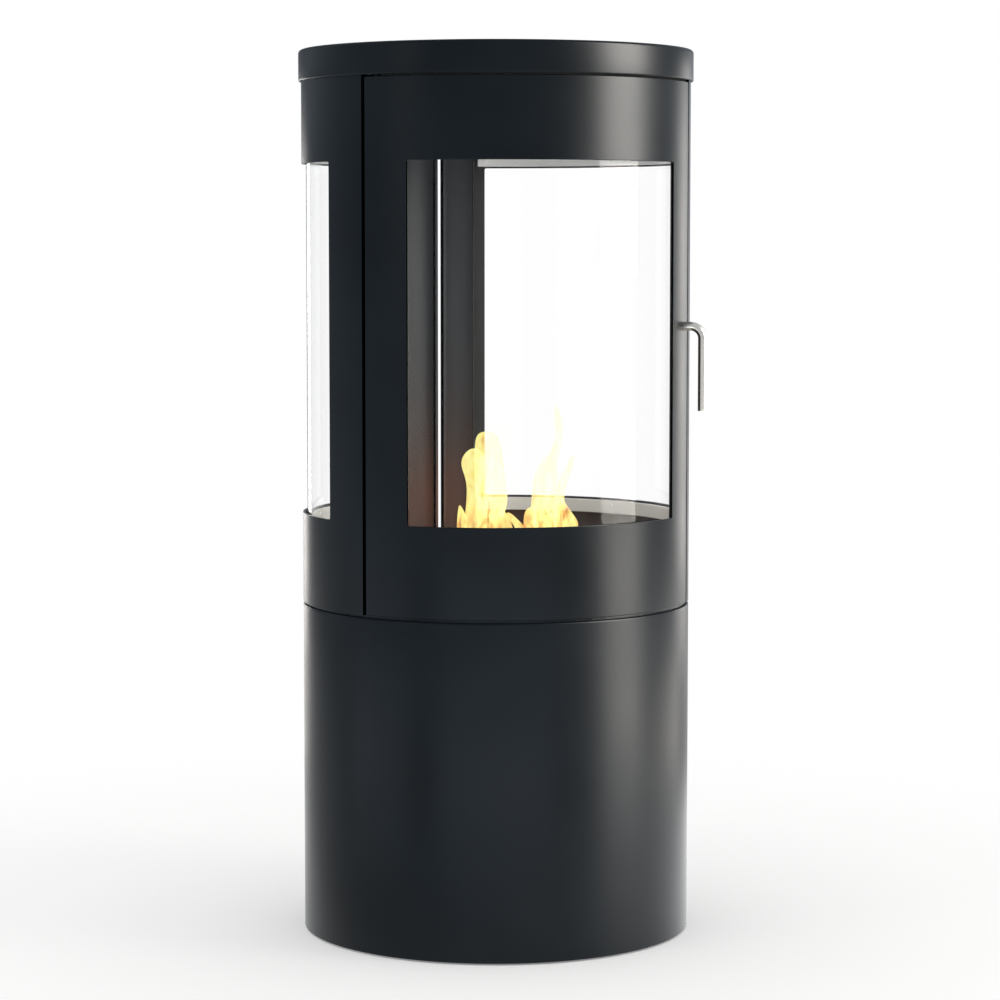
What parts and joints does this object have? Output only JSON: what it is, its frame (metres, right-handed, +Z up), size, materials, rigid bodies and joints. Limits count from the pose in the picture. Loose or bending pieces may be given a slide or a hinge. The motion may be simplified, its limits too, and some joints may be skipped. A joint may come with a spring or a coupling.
{
  "type": "bioethanol fireplace",
  "caption": "Free-standing round fireplace: black steel drum with curved glass on three sides, a hinged front door with a rod handle, and a lift-out liquid-fuel burner with a sliding cover.",
  "frame": {"origin": "centre of the round footprint, on the floor", "axes": "+Z up, -Y towards the front of the door, +X towards the handle side"},
  "size_m": [0.446, 0.446, 0.998],
  "materials": {
    "black_paint": "satin black heat-proof powder coat",
    "rubber": "matt moulded",
    "inner_steel": "satin grey heat-proof paint",
    "zinc_steel": "zinc plated",
    "stainless": "brushed stainless",
    "glass": "clear curved heat-proof glass",
    "gasket_tape": "black woven glass-fibre tape",
    "ceramic_fibre": "white ceramic fibre",
    "magnet": "black housing"
  },
  "bodies": {
    "root": {"base_plate": "black_paint", "pedestal_shell": "black_paint", "pedestal_top_plate": "black_paint", "deck_plate": "black_paint", "shell_right": "black_paint", "shell_left": "black_paint", "lid": "black_paint", "glide_1": "rubber", "glide_2": "rubber", "glide_3": "rubber", "glide_4": "rubber", "floor_plate": "inner_steel", "roof_pan": "inner_steel", "heat_shield": "inner_steel", "deck_bolt_1": "zinc_steel", "deck_bolt_2": "zinc_steel", "deck_bolt_3": "zinc_steel", "deck_bolt_4": "zinc_steel", "floor_post_1": "zinc_steel", "floor_post_2": "zinc_steel", "floor_post_3": "zinc_steel", "floor_post_4": "zinc_steel", "heat_shield_spacer_1": "zinc_steel", "heat_shield_spacer_2": "zinc_steel", "heat_shield_spacer_3": "zinc_steel", "heat_shield_screw_1": "zinc_steel", "heat_shield_screw_2": "zinc_steel", "heat_shield_screw_3": "zinc_steel", "hinge_pin_lower": "zinc_steel", "hinge_pin_upper": "zinc_steel", "hinge_washer": "zinc_steel", "glass_clamp_right_bottom": "stainless", "glass_clamp_right_top": "stainless", "glass_clamp_left_bottom": "stainless", "glass_clamp_left_top": "stainless", "glass_right": "glass", "glass_left": "glass", "glass_gasket_right": "gasket_tape", "glass_gasket_left": "gasket_tape", "door_magnet_lower": "magnet", "door_magnet_upper": "magnet"},
    "door": {"door_shell": "black_paint", "door_glass": "glass", "door_gasket": "gasket_tape", "door_clamp_bottom": "stainless", "door_clamp_top": "stainless", "door_hinge_lower": "black_paint", "door_hinge_upper": "black_paint", "handle_rod": "stainless", "handle_washer": "zinc_steel", "handle_nut": "zinc_steel", "door_keeper_lower": "zinc_steel", "door_keeper_upper": "zinc_steel"},
    "burner": {"burner_tank": "stainless", "burner_deck": "stainless", "burner_wick": "ceramic_fibre", "burner_rail_right": "stainless", "burner_rail_left": "stainless"},
    "slider": {"slider_plate": "stainless", "slider_knob": "stainless"}
  },
  "joints": [
    {"name": "door_hinge", "type": "hinge", "parent": "root", "child": "door", "pos_m": [-0.17428, -0.11894, 0.38], "axis": [0, 0, -1], "range_deg": [0, 110]},
    {"name": "burner_lift", "type": "slide", "parent": "root", "child": "burner", "axis": [0, 0, 1], "range_m": [0, 0.12]},
    {"name": "slider_travel", "type": "slide", "parent": "burner", "child": "slider", "axis": [0, -1, 0], "range_m": [0, 0.055]}
  ]
}
